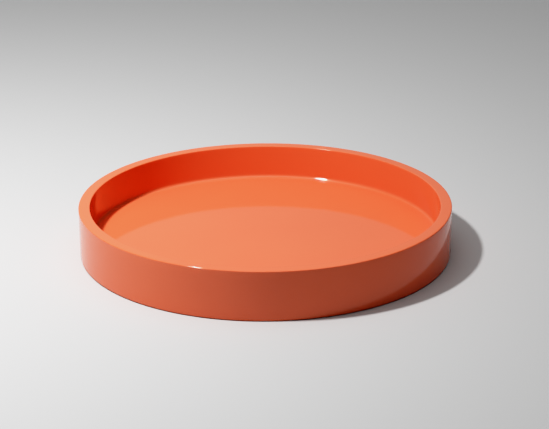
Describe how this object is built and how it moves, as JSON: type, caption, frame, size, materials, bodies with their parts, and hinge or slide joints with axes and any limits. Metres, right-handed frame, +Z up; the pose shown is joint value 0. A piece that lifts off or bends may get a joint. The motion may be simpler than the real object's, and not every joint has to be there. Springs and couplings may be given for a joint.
{
  "type": "dresser vanity tray",
  "caption": "Round lacquered tray with a thick upright wall, softened edges and a flat glossy floor, with felt underneath.",
  "frame": {"origin": "centre of the tray's underside, on the surface that it stands on", "axes": "+Z up along the tray's axis; X and Y lie in that surface, and the tray is round, so their directions are arbitrary"},
  "size_m": [0.3, 0.3, 0.0398],
  "materials": {
    "coral_lacquer": "high-gloss lacquer",
    "hoop_wood": "sanded plywood",
    "panel_board": "fine fibreboard",
    "filler": "sanded filler",
    "pin_steel": "drawn wire",
    "base_felt": "pressed felt"
  },
  "bodies": {
    "root": {"lacquer_coat": "coral_lacquer", "hoop_outer_ply": "hoop_wood", "hoop_middle_ply": "hoop_wood", "hoop_inner_ply": "hoop_wood", "base_panel": "panel_board", "corner_filler": "filler", "base_pins": "pin_steel", "base_felt": "base_felt"}
  },
  "joints": []
}
